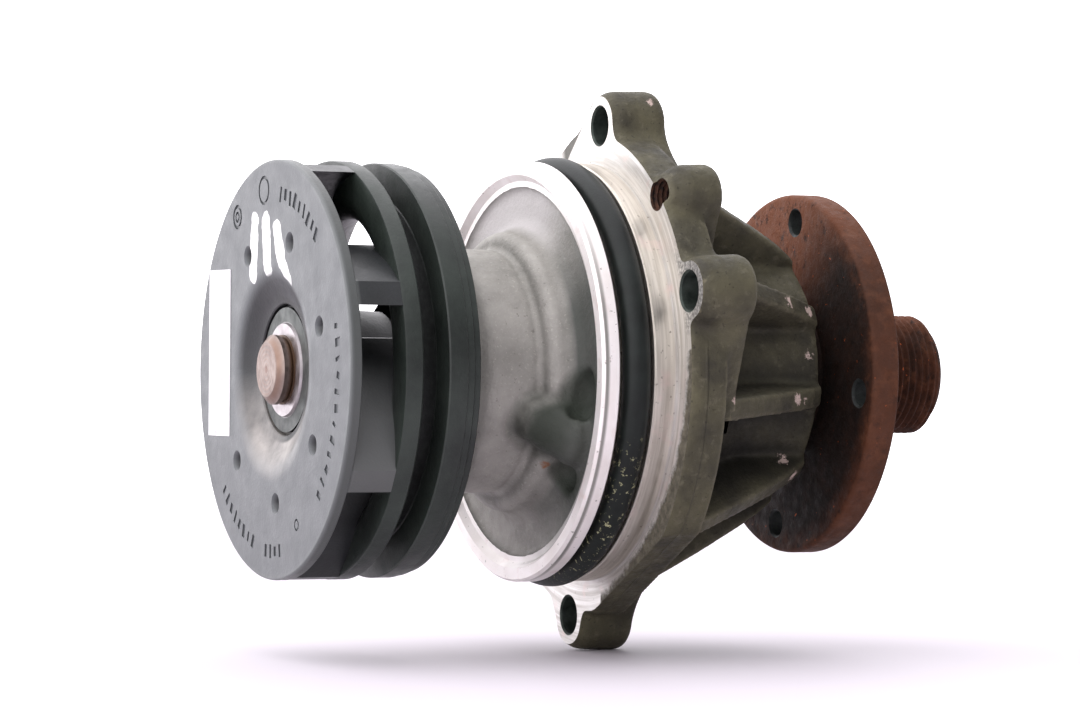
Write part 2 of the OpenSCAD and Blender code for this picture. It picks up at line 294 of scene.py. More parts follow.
def band(tree, value, low, high, out_low=0.0, out_high=1.0):
    """Maps a value between two limits to another range, and holds it there."""
    inputs = {"Value": value, "From Min": low, "From Max": high, "To Min": out_low, "To Max": out_high}
    return add(tree, "ShaderNodeMapRange", inputs).outputs["Result"]


def grain(tree, place, size, detail=3.0, rough=0.55, stretch=None):
    """Noise whose features are about a size in millimetres across."""
    if stretch:
        place = add(tree, "ShaderNodeMapping", {"Vector": place, "Scale": stretch}).outputs[0]
    inputs = {"Vector": place, "Scale": 1 / (size * MM), "Detail": detail, "Roughness": rough}
    return add(tree, "ShaderNodeTexNoise", inputs).outputs["Fac"]


def blend(tree, amount, first, second):
    """Mixes two colours, each a colour output or a hex code."""
    mix = add(tree, "ShaderNodeMix", data_type="RGBA")
    for key, value in (("Factor", amount), ("A", first), ("B", second)):
        socket = [s for s in mix.inputs if s.name == key and s.enabled][0]
        if isinstance(value, bpy.types.NodeSocket):
            tree.links.new(value, socket)
        else:
            socket.default_value = paint(value) if isinstance(value, str) else value
    return [s for s in mix.outputs if s.enabled][0]


def bumped(tree, shader, height, distance):
    """Raises a surface by a height output, scaled to a distance in millimetres."""
    bump = add(tree, "ShaderNodeBump", {"Height": height, "Distance": distance * MM, "Strength": 1.0})
    tree.links.new(bump.outputs[0], shader.inputs["Normal"])


def near(tree, place, x, r, angle):
    """How far a point is from a clock place, in metres."""
    centre = tuple(float(v) * MM for v in clock(x, r, angle))
    return vector_of(tree, "DISTANCE", place, centre, output="Value")


def cast_aluminium():
    """Aluminium as it left the mould: a fine sandy skin. The dry side has gone olive brown with road dirt, and
    has pale chips, with painted shade in its corners and on the body's lower side and a painted highlight on
    convex ridges. The wet side is grey and unstained, with scale specks, painted shade in its corners, pockets
    and round the drain lug, and a painted lit top and shaded near side on the dish floor."""
    made, tree, shader, place = surface("cast_aluminium", Metallic=0.12, Specular_IOR_Level=0.3)
    x, radius, turn = axis_places(tree, place)
    wet = band(tree, x, -0.002, -0.0035)
    # Painted shade: an ambient-occlusion mask, used to darken corners and creases on both sides.
    occlusion_shade = add(tree, "ShaderNodeAmbientOcclusion", {"Distance": 9 * MM}, samples=8, only_local=True)
    occlusion_shade = occlusion_shade.outputs["AO"]
    # The dry side's road dirt; painted shade and a painted highlight are laid over it below.
    dirt = blend(tree, band(tree, grain(tree, place, 9, 5), 0.35, 0.68), "#37342a", "#56523f")
    dirt = blend(tree, band(tree, grain(tree, place, 2.2, 6, 0.7), 0.56, 0.72, 0, 0.5), dirt, "#716c5b")
    specks = band(tree, grain(tree, place, 0.8, 2), 0.66, 0.72)
    dirt = blend(tree, times(tree, specks, 0.6), dirt, "#1d1b15")
    # Painted highlight: convex ridges, such as the rib tops, are lightened.
    lit_crests = add(tree, "ShaderNodeNewGeometry").outputs["Pointiness"]
    dirt = blend(tree, band(tree, lit_crests, 0.515, 0.56, 0, 0.5), dirt, "#77715c")
    # Painted shade: corners and creases of the dry side go almost black.
    dirt = blend(tree, band(tree, occlusion_shade, 0.9, 0.4, 0, 0.92), dirt, "#12110c")
    # Painted shade: the lower side of the body between the ribs is darkened, most where the occlusion mask is
    # darkest.
    underside_shade = times(tree, band(tree, turn, 25, -15), band(tree, turn, -170, -130))
    underside_shade = times(tree, underside_shade, band(tree, radius, 0.041, 0.032), band(tree, x, 0.0085, 0.012))
    valley_shade = band(tree, occlusion_shade, 1.0, 0.8, 0.35, 0.9)
    dirt = blend(tree, times(tree, underside_shade, valley_shade), dirt, "#12110c")
    # The wet side's grey; painted light and shade are laid over it below.
    clean_and_shading = blend(tree, band(tree, grain(tree, place, 7, 4), 0.3, 0.7), "#8f8d87", "#aaa7a1")
    scale = band(tree, grain(tree, place, 0.5, 3, 0.7), 0.6, 0.7)
    clean_and_shading = blend(tree, times(tree, scale, 0.35), clean_and_shading, "#d6d2c6")
    pits = band(tree, grain(tree, place, 0.9, 2), 0.32, 0.26)
    clean_and_shading = blend(tree, times(tree, pits, 0.4), clean_and_shading, "#57544d")
    # Painted light and shade on the dish floor: its top is lightened and its near side, towards -Y, darkened.
    floor = band(tree, radius, 0.0272, 0.0285)
    lit_top_side = times(tree, band(tree, turn, 50, 75), band(tree, turn, 150, 120))
    clean_and_shading = blend(tree, times(tree, floor, lit_top_side), clean_and_shading, "#c0bcbb")
    shaded_side = times(tree, band(tree, turn, 62, 25), band(tree, turn, -85, -45))
    clean_and_shading = blend(tree, times(tree, floor, shaded_side, 0.88), clean_and_shading, "#484c48")
    # Painted shade: corners and creases of the wet side are darkened.
    clean_and_shading = blend(tree, band(tree, occlusion_shade, 0.85, 0.4, 0, 0.85), clean_and_shading, "#34362f")
    # Painted shade in the recess round the drain lug.
    lug = near(tree, place, -19, 26.5, LUG - 2)
    lug_shade = math_of(tree, "MULTIPLY_ADD", grain(tree, place, 3, 4), 4 * MM, lug)
    clean_and_shading = blend(tree, band(tree, lug_shade, 0.0110, 0.0065, 0, 0.9), clean_and_shading, "#363b33")
    # Painted shade inside the two pockets beside the drain lug.
    for angle, reach in ((LUG + 13.5, 0.0062), (LUG - 20.5, 0.0048)):
        pocket_shade = near(tree, place, -13.5, 30.2, angle)
        clean_and_shading = blend(tree, band(tree, pocket_shade, reach, reach * 0.7, 0, 0.7), clean_and_shading, "#3f453d")
    rust = near(tree, place, -17.6, 26.3, LUG - 19)
    rust = math_of(tree, "MULTIPLY_ADD", grain(tree, place, 0.8, 3), 1.5 * MM, rust)
    clean_and_shading = blend(tree, band(tree, rust, 0.0021, 0.0014), clean_and_shading, "#8a5226")
    colour = blend(tree, wet, dirt, clean_and_shading)
    chips = None
    for chip_x, chip_r, angle, size in CHIPS:
        ragged = near(tree, place, chip_x, chip_r, angle)
        ragged = math_of(tree, "MULTIPLY_ADD", grain(tree, place, 1.3, 5, 0.8), 5.0 * MM, ragged)
        chip = band(tree, ragged, (size + 2.5) * MM, (size + 2.1) * MM)
        chips = chip if chips is None else math_of(tree, "MAXIMUM", chips, chip)
    colour = blend(tree, chips, colour, "#b9a59c")
    tree.links.new(colour, shader.inputs["Base Color"])
    rough = band(tree, grain(tree, place, 1.5, 4), 0.3, 0.7, 0.5, 0.75)
    tree.links.new(rough, shader.inputs["Roughness"])
    skin = math_of(tree, "MULTIPLY_ADD", grain(tree, place, 3.2, 2), 1.6, grain(tree, place, 0.7, 4, 0.65))
    seam = math_of(tree, "ABSOLUTE", math_of(tree, "SUBTRACT", x, 0.0030))
    seam = times(tree, band(tree, seam, 0.0004, 0.0001), band(tree, turn, 8, 2), band(tree, turn, -85, -78))
    skin = math_of(tree, "MULTIPLY_ADD", seam, 1.5, skin)
    bumped(tree, shader, skin, 0.16)
    return made


LUG = -22.0                # clock angle of the drain lug under the snout
# Pale chips knocked off the ears and ribs: place along the axis, radius, clock angle and size
CHIPS = [(9.5, 51.5, 33, 1.0), (12, 47.5, 36, 0.9), (20, 35.5, 28, 0.9), (36.5, 28, 26, 1.2),
         (31, 31, -9, 1.2), (11.5, 43, -7, 1.0), (17, 29, -21, 1.5), (36, 28.3, -45, 1.1),
         (8.2, 54.5, 77, 1.1), (8.5, 48.5, 34, 1.2), (12, 47, 31, 0.9), (13, 41.2, 62, 0.8),
         (0.4, 52.2, 31, 1.6), (11.5, 47.5, -8, 0.7), (30, 31, 26, 1.3), (35, 27.5, 26, 1.0),
         (33, 29, -10, 1.0), (16, 37, -10, 0.9), (20, 28, -20, 1.3), (34, 26, -40, 1.1),
         (7, 47, -52, 1.2), (37, 25, 8, 0.9), (9, 52, 262, 1.0)]


def machined_aluminium():
    """Aluminium faced on a lathe, with fine rings at the tool's feed, drawn at 0.35 mm so that they show. The
    lip and front land are painted pale and less metallic, a painted highlight for the light their rounded edge
    catches; the mounting face is duller, painted shade darkens one side of the lead-in chamfer, and brown grime
    creeps in over the face from the low outer edge."""
    made, tree, shader, place = surface("machined_aluminium")
    x, radius, turn = axis_places(tree, place)
    front = band(tree, x, -0.0100, -0.0115)
    flat = band(tree, x, -0.0006, -0.0002)
    mottle = band(tree, grain(tree, place, 8, 3), 0.35, 0.7)
    # Painted highlight: the lip and front land are paler, and are made less metallic below, for the light their
    # rounded edge catches.
    painted_bright_lip = blend(tree, mottle, "#f4efed", "#e6dfdb")
    across = math_of(tree, "ADD", radius, x)
    sweep = add(tree, "ShaderNodeCombineXYZ", {"X": across, "Y": times(tree, turn, 0.03 * MM)})
    streaks = band(tree, grain(tree, sweep.outputs[0], 0.9, 4, 0.6), 0.34, 0.62)
    rear = blend(tree, streaks, "#dad4ca", "#b9b2a7")
    face = blend(tree, streaks, "#e0dedb", "#b7b3ad")
    top_ear = times(tree, band(tree, turn, 60, 76), band(tree, radius, 0.0435, 0.046))
    face = blend(tree, times(tree, top_ear, 0.8), face, "#d8d3ce")
    colour = blend(tree, front, blend(tree, flat, rear, face), painted_bright_lip)
    stain = band(tree, grain(tree, place, 5, 3), 0.6, 0.75, 0, 0.5)
    colour = blend(tree, stain, colour, "#d9c3bd")
    limit = band(tree, turn, 2, -45, 45.3 * MM, 42.0 * MM)
    for start, end, more in ((-60, -78, 2), (5, 11, 15), (-79, -83, 15)):
        limit = math_of(tree, "ADD", limit, band(tree, turn, start, end, 0, more * MM))
    edge = math_of(tree, "SUBTRACT", grain(tree, place, 2.2, 5, 0.7), 0.5)
    edge = math_of(tree, "MULTIPLY_ADD", edge, 4 * MM, radius)
    worn = times(tree, band(tree, math_of(tree, "SUBTRACT", edge, limit), -0.5 * MM, 0.7 * MM), flat)
    grime = blend(tree, band(tree, grain(tree, place, 1.6, 5, 0.7), 0.4, 0.7), "#454136", "#716b5b")
    colour = blend(tree, worn, colour, grime)
    rim = times(tree, band(tree, radius, 0.0445, 0.0460), band(tree, turn, 32, 27), band(tree, turn, 8, 11))
    rim = times(tree, rim, flat)
    speckled = blend(tree, band(tree, grain(tree, place, 0.7, 2, 0.6), 0.4, 0.66), "#8f8e8c", "#e4e2df")
    colour = blend(tree, rim, colour, speckled)
    # Painted shade on the near side of the chamfer between the dish and the lip.
    lead_in_shade = times(tree, band(tree, x, -0.0150, -0.0148), band(tree, x, -0.0139, -0.0144))
    lead_in_shade = times(tree, lead_in_shade, band(tree, turn, 60, 15), band(tree, turn, -90, -60), 0.9)
    colour = blend(tree, lead_in_shade, colour, "#7c7b75")
    boss = None
    for ear_r, ear_angle, boss_r, flares in EARS:
        away = near(tree, place, 0, ear_r, ear_angle)
        boss = away if boss is None else math_of(tree, "MINIMUM", boss, away)
    round_boss = times(tree, band(tree, boss, 0.0063, 0.0066), band(tree, radius, 0.0500, 0.0505))
    ear_angle = EARS[0][1]
    away = tuple(float(v) for v in clock(0, 0.638, ear_angle) + clock(0, 0.770, ear_angle + 90))
    web_side = band(tree, vector_of(tree, "DOT_PRODUCT", place, away, output="Value"), 0.0363, 0.0366)
    web_side = times(tree, web_side, band(tree, turn, 84, 86), band(tree, turn, 105, 102))
    border = times(tree, math_of(tree, "MAXIMUM", round_boss, web_side), flat)
    colour = blend(tree, border, colour, "#403d31")
    dots = times(tree, band(tree, grain(tree, place, 0.9, 2), 0.68, 0.73), 0.7)
    colour = blend(tree, dots, colour, "#7d776e")
    tree.links.new(colour, shader.inputs["Base Color"])
    dull = times(tree, math_of(tree, "MAXIMUM", worn, border), 0.8)
    metal = math_of(tree, "SUBTRACT", band(tree, front, 0, 1, 0.85, 0.3), dull)
    tree.links.new(metal, shader.inputs["Metallic"])
    rough = band(tree, grain(tree, place, 3, 4), 0.3, 0.7, 0.3, 0.46)
    tree.links.new(math_of(tree, "MULTIPLY_ADD", worn, 0.3, rough), shader.inputs["Roughness"])
    rings = math_of(tree, "SINE", times(tree, across, 2 * math.pi / (0.35 * MM)))
    relief = math_of(tree, "MULTIPLY_ADD", grain(tree, place, 1.4, 4), 1.2, times(tree, rings, 0.12))
    crust = times(tree, worn, grain(tree, place, 0.9, 4))
    relief = math_of(tree, "MULTIPLY_ADD", crust, 3.0, relief)
    bumped(tree, shader, relief, 0.03)
    return made


def rusty_thread():
    """The steel-stained wall of a jacking hole: brown rust in the thread's roots."""
    made, tree, shader, place = surface("rusty_hole", Metallic=0.1, Roughness=0.85)
    colour = blend(tree, band(tree, grain(tree, place, 1.2, 4), 0.35, 0.65), "#1f1611", "#5a3a28")
    tree.links.new(colour, shader.inputs["Base Color"])
    bumped(tree, shader, grain(tree, place, 0.6, 4), 0.2)
    return made


def drilled_aluminium():
    """The wall of a bolt hole: grey-green aluminium with grime from the bolt."""
    made, tree, shader, place = surface("drilled_hole", Metallic=0.5, Roughness=0.6, Specular_IOR_Level=0.2)
    colour = blend(tree, band(tree, grain(tree, place, 2.5, 4), 0.35, 0.65), "#2c332f", "#4b524d")
    tree.links.new(colour, shader.inputs["Base Color"])
    bumped(tree, shader, grain(tree, place, 0.8, 4), 0.05)
    return made


def peg(profile, r=0.0, angle=0.0, steps=48, closed=False):
    """A round solid along X at a clock place, from pairs of a distance and a radius. Closed makes it a ring."""
    around = np.arange(steps) * 360 / steps
    return lofted([clock(0, r, angle) + clock(x, size, around) for x, size in profile], closed)


def bored(x0, x1, r, angle, radius, pitch=0.0):
    """A cutter for a hole along the axis, with a small chamfer at each mouth, or with thread rings."""
    chamfer, thread_depth = 0.35, 0.45
    if pitch:
        rows = int((x1 - x0) / pitch * 2)
        rings = [(x0 + (x1 - x0) * i / rows, radius + thread_depth * (i % 2)) for i in range(rows + 1)]
    else:
        rings = [(x0, radius + chamfer), (x0 + chamfer, radius)]
        rings += [(x1 - chamfer, radius), (x1, radius + chamfer)]
    return peg([(x0 - 3, rings[0][1])] + rings + [(x1 + 3, rings[-1][1])], r, angle)


def ball(centre, radii, steps=24):
    """An ellipsoid with its axes along X, outwards and round, at a clock place (x, radius, angle)."""
    x, r, angle = centre
    out, across = clock(0, 1, angle), clock(0, 1, angle + 90)
    around = np.radians(np.arange(steps) * 360 / steps)
    rings = []
    for lat in np.radians(np.linspace(-90, 90, steps // 2 + 1)):
        rings.append(clock(x, r, angle) + radii[0] * math.sin(lat) * np.array((1, 0, 0))
                     + np.outer(radii[1] * math.cos(lat) * np.cos(around), out)
                     + np.outer(radii[2] * math.cos(lat) * np.sin(around), across))
    return lofted(rings)


blank = [turned(
    [(0, SNOUT_X - ROUGHED), (21, SNOUT_X - ROUGHED)] + arc((20.2, SNOUT_X + 3.5), 3.5, 290, 360)
    + [(SNOUT_R, -21.4), (SNOUT_R - 0.9, -20.9), (SNOUT_R - 0.9, -20.4), (24.0, -19.8)]
    + arc((24.7, -17.2), 2.6, 265, 360, 7) + arc((31.2, -17.6), 4.1, 175, 100, 6)
    + [(34.5, DISH_X), (DISH_R, DISH_X), (DISH_R, LIP_X - ROUGHED), (SPIGOT_R + ROUGHED, LIP_X - ROUGHED)]
    + [(SPIGOT_R + ROUGHED, -ROUGHED), (44.5, -ROUGHED)] + arc((44.7, 1.6), 2.8, 275, 350, 5)
    + [(FLANGE_R, FLANGE_T), (38.5, FLANGE_T)]
    + arc((BODY_R + 15.2, FLANGE_T + 19), 15.2, 230, 180, 10)
    + [(BODY_R, BODY_X), (0, BODY_X)], 160)]
blank += [ear(r, angle, boss_r, flares, -ROUGHED, EAR_T) for r, angle, boss_r, flares in EARS]
side_web, jack_web = ((6, 1.8), (14, 1.0)), ((3.5, 1.5), (3.5, 1.5))
blank += [ear(r, angle, boss_r - 0.9, side_web, 3.0, EAR_T) for r, angle, boss_r, flares in EARS[2:]]
blank += [ear(JACK_R, angle, JACK_BOSS_R, jack_web, 0.9, EAR_T) for angle in JACK_ANGLES]
for i in range(5):
    blank.append(ball((-20.3 + 1.5 * i, 24.6 + 1.2 * i, LUG - 0.7 * i), (4.6, 4.7, 4.7 + 0.3 * i)))
housing = mesh_object("housing", blank)
ribs = repeated(mesh_object("ribs", [rib()]), RIB_COUNT, 360 / RIB_COUNT, RIB_START)
pockets = [ball((-14.2, 30.3, LUG + 13.5), (4.2, 2.9, 5.2)), ball((-14.8, 29.8, LUG - 20.5), (4.0, 3.0, 3.4))]
with bpy.context.temp_override(active_object=housing, selected_editable_objects=[housing, ribs]):
    bpy.ops.object.join()
fused = "REMESH", {"mode": "VOXEL", "voxel_size": 0.6 * MM}
applied(housing, fused)
cut(housing, mesh_object("pockets", pockets))
corners = [(FLAT_R, -FLAT_W / 2), (60, -FLAT_W / 2), (60, FLAT_W / 2), (FLAT_R, FLAT_W / 2)]
flats = [lofted([layer(x, corners, angle) for x in (-4, FLANGE_T + 0.3)]) for angle in FLAT_ANGLES]
cut(housing, mesh_object("flats", flats))
applied(housing, fused, ("SMOOTH", {"factor": 0.5, "iterations": 4}))
finishes = [cast_aluminium(), machined_aluminium(), rusty_thread(), drilled_aluminium()]
housing.data.materials.clear()
for finish in finishes:
    housing.data.materials.append(finish)
# One turning cut makes the lip, both lands, the O-ring groove and the mounting face.
inner_r, groove_start, groove_end, bevel = DISH_R - 1.2, *GROOVE_X, 0.25
turning = [(inner_r, LIP_X - 6), (inner_r, -14.3), (37.2, -14.3), (38.4, LIP_X), (40.5, LIP_X)]
turning += [(SPIGOT_R, LIP_X + 0.5), (SPIGOT_R, groove_start - bevel), (SPIGOT_R - bevel, groove_start)]
turning += [(GROOVE_R, groove_start), (GROOVE_R, groove_end), (SPIGOT_R - bevel, groove_end)]
turning += [(SPIGOT_R, groove_end + bevel), (SPIGOT_R, 0), (70, 0), (70, LIP_X - 6)]
cut(housing, mesh_object("turning", [turned(turning)], finishes, 1))
boring = [(0, SNOUT_X - 9), (30, SNOUT_X - 9), (30, SNOUT_X), (SEAL_BORE_R, SNOUT_X), (SEAL_BORE_R, DRAIN_X[0])]
boring += [(DRAIN_R, x) for x in DRAIN_X] + [(BEARING_BORE_R, DRAIN_X[1]), (BEARING_BORE_R, BODY_X - 0.6)]
boring += [(BEARING_BORE_R + 0.6, BODY_X), (30, BODY_X), (30, BODY_X + 9), (0, BODY_X + 9)]
cut(housing, mesh_object("boring", [turned(boring)], finishes, 1))
for r, angle, boss_r, flares in EARS:
    cut(housing, mesh_object("drill", [bored(0, EAR_T + 0.2, r, angle, BOLT_HOLE_R)], finishes, 3))
for angle in JACK_ANGLES:
    tap = bored(0.5, EAR_T + 0.5, JACK_R, angle, JACK_HOLE_R, JACK_PITCH)
    cut(housing, mesh_object("tap", [tap], finishes, 2))
cut(housing, mesh_object("weep", [peg([(-19, 1.5), (19.4, 1.5)], 26.3, LUG - 1)], finishes, 0))
smooth(housing)
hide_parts("housing")
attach(housing, "housing")


# ---- O-ring ----
# A moulded rubber ring that seals the spigot in its bore. It lies against the rear wall of its groove.

def rubber(name, colour, pale, dirt=0.0):
    """Moulded rubber: matt, a little bloomed, with dusty specks where it has lain in dirt."""
    made, tree, shader, place = surface(name, Roughness=0.5, Specular_IOR_Level=0.3)
    turn = axis_places(tree, place)[2]
    mixed = blend(tree, band(tree, grain(tree, place, 6, 4), 0.35, 0.7), colour, pale)
    if dirt:
        spots = band(tree, grain(tree, place, 1.1, 3, 0.7), 0.6, 0.66)
        spots = times(tree, spots, band(tree, turn, -14, -30), band(tree, turn, -85, -60), dirt)
        mixed = blend(tree, spots, mixed, "#b3b18a")
    tree.links.new(mixed, shader.inputs["Base Color"])
    bumped(tree, shader, grain(tree, place, 0.6, 3), 0.03)
    return made


ORING_R, ORING_GAP = 2.7, 0.3
section = arc((GROOVE_R + ORING_R, GROOVE_X[1] - ORING_R - ORING_GAP), ORING_R, 0, 360, 33)[:-1]
nitrile = rubber("nitrile_rubber", "#0a0f0d", "#161d1a", 0.8)
o_ring = smooth(mesh_object("o_ring", [turned(section)], [nitrile]))
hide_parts("o_ring")
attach(o_ring, "housing")


# ---- Bearing ----
# One row of balls and one of rollers run straight on the shaft inside a long outer ring, with a rubber seal
# at each end. All of it is inside the body, so the CAD solids keep their shapes.

def plain(name, dark, light, size, low, high, relief, **settings):
    """A finish that varies a little from place to place, in colour, roughness and height."""
    made, tree, shader, place = surface(name, **settings)
    patches = band(tree, grain(tree, place, size, 5, 0.6), 0.35, 0.68)
    rough = band(tree, grain(tree, place, size / 3, 4), 0.3, 0.7, low, high)
    tree.links.new(blend(tree, patches, dark, light), shader.inputs["Base Color"])
    tree.links.new(rough, shader.inputs["Roughness"])
    bumped(tree, shader, grain(tree, place, size / 6, 3), relief)
    return made


def finish(node, material):
    """Gives a CAD solid that keeps its own shape a new material."""
    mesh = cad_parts[node].data
    mesh.materials.clear()
    mesh.materials.append(material)


bearing_steel = plain("bearing_steel", "#b9b8b5", "#d6d5d2", 4, 0.16, 0.3, 0.004, Metallic=1.0)
seal_rubber = rubber("bearing_seal_rubber", "#191a1a", "#242626")
cage_nylon = plain("cage_nylon", "#b5a783", "#cdc19e", 3, 0.4, 0.55, 0.01, IOR=1.53)
finish("bearing_outer_ring", bearing_steel)
finish("bearing_balls", bearing_steel)
finish("bearing_rollers", bearing_steel)
finish("bearing_front_seal", seal_rubber)
finish("bearing_rear_seal", seal_rubber)
finish("ball_cage", cage_nylon)
finish("roller_cage", cage_nylon)


# ---- Face seal ----
# A brass case in the snout holds a rubber bellows, a spring and a carbon ring. The ring runs on a ceramic
# seat that a rubber cup drives, and a pressed slinger keeps weeping coolant off the bearing.

finish("seal_case", plain("drawn_brass", "#9a7a3e", "#c2a262", 5, 0.25, 0.42, 0.01, Metallic=1.0))
finish("seal_bellows", rubber("bellows_rubber", "#141516", "#202324"))
finish("seal_spring", plain("spring_steel", "#a5a39e", "#c6c4c0", 2, 0.22, 0.35, 0.005, Metallic=1.0))
finish("seal_carbon_ring", plain("seal_carbon", "#1c1c1e", "#2b2b2d", 2, 0.3, 0.4, 0.004, IOR=1.9))
finish("seal_seat_cup", rubber("seat_rubber", "#15171a", "#22252a"))
finish("seal_seat_ring", plain("seat_ceramic", "#d8d3c6", "#ebe8df", 4, 0.18, 0.28, 0.003, IOR=1.77))
finish("slinger", plain("zinc_plate", "#8e9397", "#b1b6b9", 3, 0.3, 0.45, 0.01, Metallic=1.0))


# ---- Shaft ----
# Ground bearing steel. The exposed end has gone pinkish beige, with turning rings, a centre mark and a
# brown foot where it leaves the bush.

made, tree, shader, place = surface("shaft_steel", Metallic=1.0)
x, radius, turn = axis_places(tree, place)
colour = blend(tree, band(tree, grain(tree, place, 3, 4), 0.35, 0.7), "#7f716b", "#94867f")
rings = math_of(tree, "SINE", times(tree, radius, 2 * math.pi / (0.9 * MM)))
on_face = band(tree, x, -0.0663, -0.0666)
marks = times(tree, band(tree, rings, 0.3, 1.0), on_face, 0.35)
colour = blend(tree, marks, colour, "#8f6f60")
dot = times(tree, band(tree, radius, 0.0009, 0.0005), on_face)
colour = blend(tree, dot, colour, "#7a6157")
foot = times(tree, band(tree, x, -0.0648, -0.0641), band(tree, x, -0.0615, -0.0625))
colour = blend(tree, foot, colour, "#5c4a3b")
edge = times(tree, band(tree, radius, 0.0050, 0.0054), band(tree, x, -0.0657, -0.0662))
colour = blend(tree, times(tree, edge, 0.6), colour, "#7d6456")
tree.links.new(colour, shader.inputs["Base Color"])
tree.links.new(band(tree, grain(tree, place, 1.2, 4), 0.3, 0.7, 0.28, 0.5), shader.inputs["Roughness"])
bumped(tree, shader, math_of(tree, "MULTIPLY_ADD", rings, 0.3, grain(tree, place, 0.8, 4)), 0.02)
finish("shaft", made)


# ---- Impeller ----
# A closed plastic impeller: a disc with a hub and seven swept blades, a welded-on shroud with two rings
# round its eye, and a steel bush that is moulded in and pressed on the shaft. A paper sticker is on the disc.

IMPELLER_R, DISC_X, DISC_BACK_X = 40.0, -65.7, -63.4
BLADE_COUNT, BLADE_T, BLADE_START = 7, 2.4, 20.5
# Each blade is an arc that leaves the rim at 31 degrees and ends at r 24.5, 45 degrees further round
BLADE_CENTRE, BLADE_ARC_R = np.array((6.807, -19.944)), 38.724
BLADE_ENDS = 31.0, 74.2            # degrees round the blade's own arc, at its tip and at its root
DIMPLE_R, DIMPLE_START = 25.5, 18.3


def throat_x(r):
    """How far back the shroud's front face lies at a radius."""
    if r > 35.3:
        return -54.9 + (40 - r) * 0.05
    return -48.7 - math.sqrt(max(36 - (r - 34.8) ** 2, 0.65))


def on_blade_arc(reach, degrees):
    """The (outwards, round) point of a circle about the blade's centre."""
    t = math.radians(degrees)
    return BLADE_CENTRE + reach * np.array((math.cos(t), math.sin(t)))


def blade(steps=28):
    """One blade whose tip is at clock angle 0. Its height follows the shroud, and its root is rounded."""
    rim_r, step = IMPELLER_R - 0.08, 0.02
    front = DISC_BACK_X - 0.3
    rings = []
    for s in np.linspace(0, 1, steps):
        sides = []
        half = BLADE_T / 2 * math.sqrt(max(1 - max(0, (s - 0.95) / 0.05) ** 2, 0.04))
        for reach in (BLADE_ARC_R + half, BLADE_ARC_R - half):
            tip = BLADE_ENDS[0]
            while np.hypot(*on_blade_arc(reach, tip)) > rim_r:
                tip += step
            while np.hypot(*on_blade_arc(reach, tip)) < rim_r:
                tip -= step
            sides.append(on_blade_arc(reach, tip + s * (BLADE_ENDS[1] - tip)))
        (au, av), (bu, bv) = sides
        back = throat_x(np.hypot(au + bu, av + bv) / 2) + 0.12
        rings.append([(front, -au, av), (front, -bu, bv), (back, -bu, bv), (back, -au, av)])
    return lofted(rings)


def dash(r, angle, width, height, turn=0.0):
    """A block that cuts a moulded dash in the disc's face. Its width runs round, its height outwards."""
    depth, t = 0.28, math.radians(turn)
    corners = np.array([(-height, -width), (height, -width), (height, width), (-height, width)]) / 2
    corners = corners @ np.array([(math.cos(t), math.sin(t)), (-math.sin(t), math.cos(t))]) + (r, 0)
    return lofted([layer(x, corners, angle) for x in (DISC_X - 1, DISC_X + depth)])


def moulded_ring(r, angle, inner, outer):
    """A round groove in the disc's face at a clock place."""
    front, floor = DISC_X - 1, DISC_X + 0.3
    return peg([(front, inner), (front, outer), (floor, outer), (floor, inner)], r, angle, 40, closed=True)


